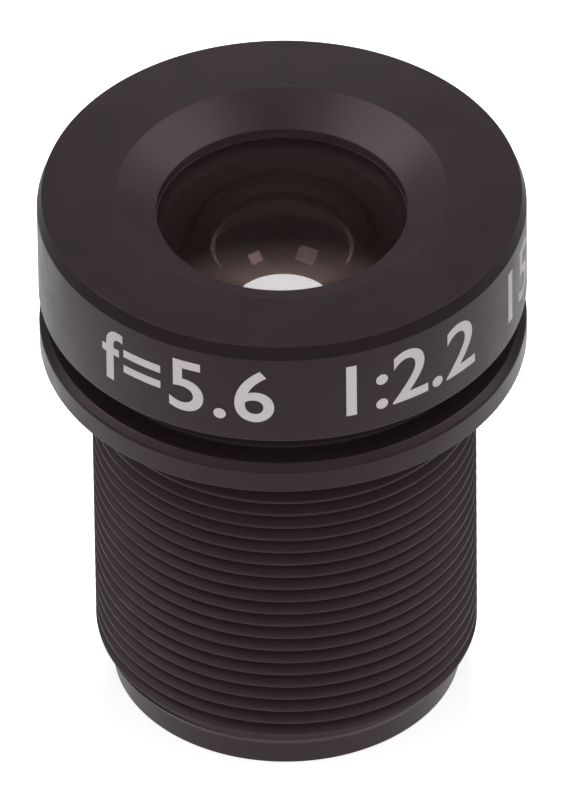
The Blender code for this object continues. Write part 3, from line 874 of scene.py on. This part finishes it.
def white_floor():
    made = bpy.data.materials.new("white_table")
    made.use_nodes = True
    tree = made.node_tree
    tree.nodes.clear()
    path = node(tree, "ShaderNodeLightPath").outputs
    place = node(tree, "ShaderNodeTexCoord")
    away = node(tree, "ShaderNodeVectorMath", {0: place.outputs["Object"]}, operation="LENGTH")
    fading = node(tree, "ShaderNodeMapRange", {
        "Value": away.outputs["Value"], "From Min": 0.010, "From Max": 0.045, "To Min": 0.90, "To Max": 0.0,
    }, interpolation_type="SMOOTHSTEP")
    seen = node(tree, "ShaderNodeMath", {0: path["Is Camera Ray"], 1: TABLE_GLOW}, operation="MULTIPLY")
    mirrored = node(tree, "ShaderNodeMath", {
        0: path["Is Glossy Ray"], 1: fading.outputs["Result"],
    }, operation="MULTIPLY")
    direct = node(tree, "ShaderNodeMath", {0: seen.outputs[0], 1: mirrored.outputs[0]}, operation="MAXIMUM")
    glow = node(tree, "ShaderNodeMath", {
        0: direct.outputs[0], 1: path["Is Transmission Ray"],
    }, operation="MAXIMUM")
    lit = node(tree, "ShaderNodeBsdfDiffuse", {"Color": srgb("#E7E7E7")})
    own = node(tree, "ShaderNodeEmission", {"Color": srgb("#FFFFFF"), "Strength": glow.outputs[0]})
    together = node(tree, "ShaderNodeAddShader", {0: lit.outputs["BSDF"], 1: own.outputs["Emission"]})
    node(tree, "ShaderNodeOutputMaterial", {"Surface": together.outputs["Shader"]})
    return made


bm = bmesh.new()
bmesh.ops.create_circle(bm, cap_ends=True, segments=96, radius=TABLE_RADIUS)
floor_mesh = bpy.data.meshes.new("table_top")
bm.to_mesh(floor_mesh)
bm.free()
floor_mesh.materials.append(white_floor())
table_top = bpy.data.objects.new("table_top", floor_mesh)
bpy.context.scene.collection.objects.link(table_top)
print("table:", 2 * TABLE_RADIUS, "m across")

# %% Surroundings
def grey(level):
    return (level, level, level, 1.0)


world = bpy.data.worlds.new("light_tent")
bpy.context.scene.world = world
world.use_nodes = True
air = world.node_tree
air.nodes.clear()
direction = node(air, "ShaderNodeTexCoord")
axes = node(air, "ShaderNodeSeparateXYZ", {"Vector": direction.outputs["Generated"]})
rise = node(air, "ShaderNodeValToRGB", {"Fac": axes.outputs["Z"]})
stops = rise.color_ramp.elements
stops[0].color = grey(0.10)                 # below and at the horizon
stops[1].color = grey(0.20)                 # overhead
stops.new(0.38).color = grey(0.72)          # by the sine of the height above the horizon
stops.new(0.90).color = grey(0.60)
rays = node(air, "ShaderNodeLightPath")
turned_away = node(air, "ShaderNodeMath", {
    0: rays.outputs["Is Transmission Ray"], 1: 0.30, 2: axes.outputs["Y"],
}, operation="MULTIPLY_ADD")
fading = node(air, "ShaderNodeMapRange", {
    "Value": turned_away.outputs["Value"], "From Min": -0.30, "From Max": 0.20, "To Min": 1.0, "To Max": 0.12,
}, interpolation_type="SMOOTHSTEP")
light = node(air, "ShaderNodeBackground", {
    "Color": rise.outputs["Color"], "Strength": fading.outputs["Result"],
})
seen = node(air, "ShaderNodeBackground", {"Color": srgb("#FFFFFF"), "Strength": 1.0})
choice = node(air, "ShaderNodeMixShader", {
    0: rays.outputs["Is Camera Ray"], 1: light.outputs["Background"], 2: seen.outputs["Background"],
})
node(air, "ShaderNodeOutputWorld", {"Surface": choice.outputs["Shader"]})
print("light tent:", len(air.nodes), "nodes")

# %% [markdown]
# ## Lamps
# Two large soft boxes stand left and right, a little behind the lens, and the far side of the funnel mirrors
# them as two soft patches. What they spread over the rest is set apart, in lamps of the same size and place, so
# that mirror image and light can be matched one by one. Two small lamps are there for the glass alone, which
# shows them beside the white hole. Two low boxes at the sides put the bright ends on the chamfer of the flange
# and on the turns of the thread. A broad, weak lamp in front lights the band and its figures, and a small one
# close behind lifts the far side of the face.

# %% Lamps
LAMP_AIM = Vector((0, 0, 0.015))
FAR = 0.40


def soft_box(name, azimuth, elevation, distance, side, radiance, seen_by, only=None):
    """Azimuth 0 is the camera's side and 90 its right. Power follows from the radiance and the area.

    Only, if given, is the one object that the lamp lights.
    """
    lamp = bpy.data.lights.new(name, "AREA")
    lamp.shape = "SQUARE"
    lamp.size = side
    lamp.energy = radiance * math.pi * side * side
    box = bpy.data.objects.new(name, lamp)
    bpy.context.scene.collection.objects.link(box)
    box.visible_diffuse = "diffuse" in seen_by
    box.visible_glossy = "glossy" in seen_by
    box.visible_transmission = "glass" in seen_by
    a, e = math.radians(azimuth), math.radians(elevation)
    away = Vector((math.sin(a) * math.cos(e), -math.cos(a) * math.cos(e), math.sin(e)))
    box.location = away * distance + LAMP_AIM
    box.rotation_euler = away.to_track_quat("Z", "Y").to_euler()
    if only:
        receivers = bpy.data.collections.new(name + "_receivers")
        receivers.objects.link(only)
        box.light_linking.receiver_collection = receivers
    print(f"{name}: {lamp.energy:.3f} W")
    return box


soft_box("soft_box_left", -105, 53, FAR, 0.26, 4.7, "glossy")
soft_box("soft_box_right", 105, 53, FAR, 0.26, 4.1, "glossy")
soft_box("spread_light_left", -105, 53, FAR, 0.26, 1.5, "diffuse")
soft_box("spread_light_right", 105, 53, FAR, 0.26, 1.4, "diffuse")
soft_box("catch_light_left", -70, 63, FAR, 0.085, 1.75, "glass")
soft_box("catch_light_right", 73, 66, FAR, 0.130, 0.85, "glass")
soft_box("low_box_left", -100, 18, FAR, 0.16, 2.2, "glossy")
soft_box("low_box_right", 100, 18, FAR, 0.16, 2.2, "glossy")
soft_box("front_light", 0, 12, FAR, 0.30, 0.95, "diffuse")
soft_box("fill_behind", 180, 22, 0.032, 0.020, 11.0, "diffuse")

# %% [markdown]
# ## Ceiling glow
# The top of the tent glows softly, and the near edge of the front glass mirrors it as a faint crescent. A world
# texture could glow there too, but the cap's flat face would mirror it as well. So it is one wide lamp, and
# light linking lets it reach the front element alone. An area lamp ends in a hard edge, which would be seen in
# the glass, so its tree reads the place on the lamp, from 0 to 1 each way, and fades the light out from the
# middle. Its white is slightly cool, because the thin film sends it back warmer.

# %% Ceiling glow
CEILING_SIDE = 1.14
FADE_START = 0.22           # from the middle, as a share of the side
FADE_END = 0.48
STRETCH = 0.7               # the glow reaches further sideways, so distances across count less
ceiling = soft_box("ceiling_glow", 0, 75, FAR, CEILING_SIDE, 2.01, "glossy", only=front_element)
ceiling.data.color = srgb("#DFD9FF")[:3]
ceiling.data.use_nodes = True
tree = ceiling.data.node_tree
tree.nodes.clear()
place = node(tree, "ShaderNodeNewGeometry").outputs["Parametric"]
centred = node(tree, "ShaderNodeMapping", {
    "Vector": place, "Scale": (STRETCH, 1.0, 1.0), "Location": (-STRETCH / 2, -0.5, 0.0),
})
from_middle = node(tree, "ShaderNodeVectorMath", {0: centred.outputs["Vector"]}, operation="LENGTH")
fade = node(tree, "ShaderNodeMapRange", {
    "Value": from_middle.outputs["Value"],
    "From Min": FADE_START, "From Max": FADE_END, "To Min": 1.0, "To Max": 0.0,
}, interpolation_type="SMOOTHSTEP")
glow = node(tree, "ShaderNodeEmission", {"Strength": fade.outputs["Result"]})
node(tree, "ShaderNodeOutputLight", {"Surface": glow.outputs["Emission"]})
faded = math.degrees(math.atan(FADE_END * CEILING_SIDE / FAR))
print(f"the ceiling glow fades out {faded:.0f} degrees from its middle")

# %% [markdown]
# ## Camera
# The picture is a long-lens product view from 40 degrees above. The camera stands 600 mm from a point on the
# axis, leans by 0.69 degrees, and is moved a little in its own plane, so that this point falls where it should.

# %% Camera
ELEVATION = math.radians(40.28)
ROLL = math.radians(0.69)
DISTANCE = 0.600
AIM_HEIGHT = 9.47           # of the point on the axis that the camera looks at
PIXELS_PER_MM = 32.17
PICTURE = (564, 800)
AIM_PIXEL = (284.3, 418.4)  # where that point falls in the picture
back = Vector((0, -math.cos(ELEVATION), math.sin(ELEVATION)))
right = Vector((1, 0, 0))
upward = back.cross(right)
right_rolled = right * math.cos(ROLL) - upward * math.sin(ROLL)
up_rolled = upward * math.cos(ROLL) + right * math.sin(ROLL)
lens = bpy.data.cameras.new("camera")
lens.lens = 868.6
lens.sensor_width = 36.0
lens.clip_start = 0.05
lens.clip_end = 20.0
camera = bpy.data.objects.new("camera", lens)
bpy.context.scene.collection.objects.link(camera)
shift_up = (AIM_PIXEL[1] - PICTURE[1] / 2) / PIXELS_PER_MM * MM
shift_left = (AIM_PIXEL[0] - PICTURE[0] / 2) / PIXELS_PER_MM * MM
spot = Vector((0, 0, AIM_HEIGHT * MM)) + back * DISTANCE + up_rolled * shift_up - right_rolled * shift_left
turn = Matrix((right_rolled, up_rolled, back)).transposed().to_4x4()
camera.matrix_world = Matrix.Translation(spot) @ turn
bpy.context.scene.camera = camera
print("camera at, mm:", [round(1000 * value, 1) for value in camera.location])

# %% [markdown]
# ## Last settings
# Light has to cross twelve glass surfaces to bring the white table into the eye of the lens, so the path may be
# long. Colours go out by the Standard transform, as they are written.

# %% Render settings and hand-over
LONGEST_PATH = 32
bpy.context.scene.view_settings.view_transform = "Standard"
bpy.context.scene.cycles.max_bounces = LONGEST_PATH
bpy.context.scene.cycles.transmission_bounces = LONGEST_PATH
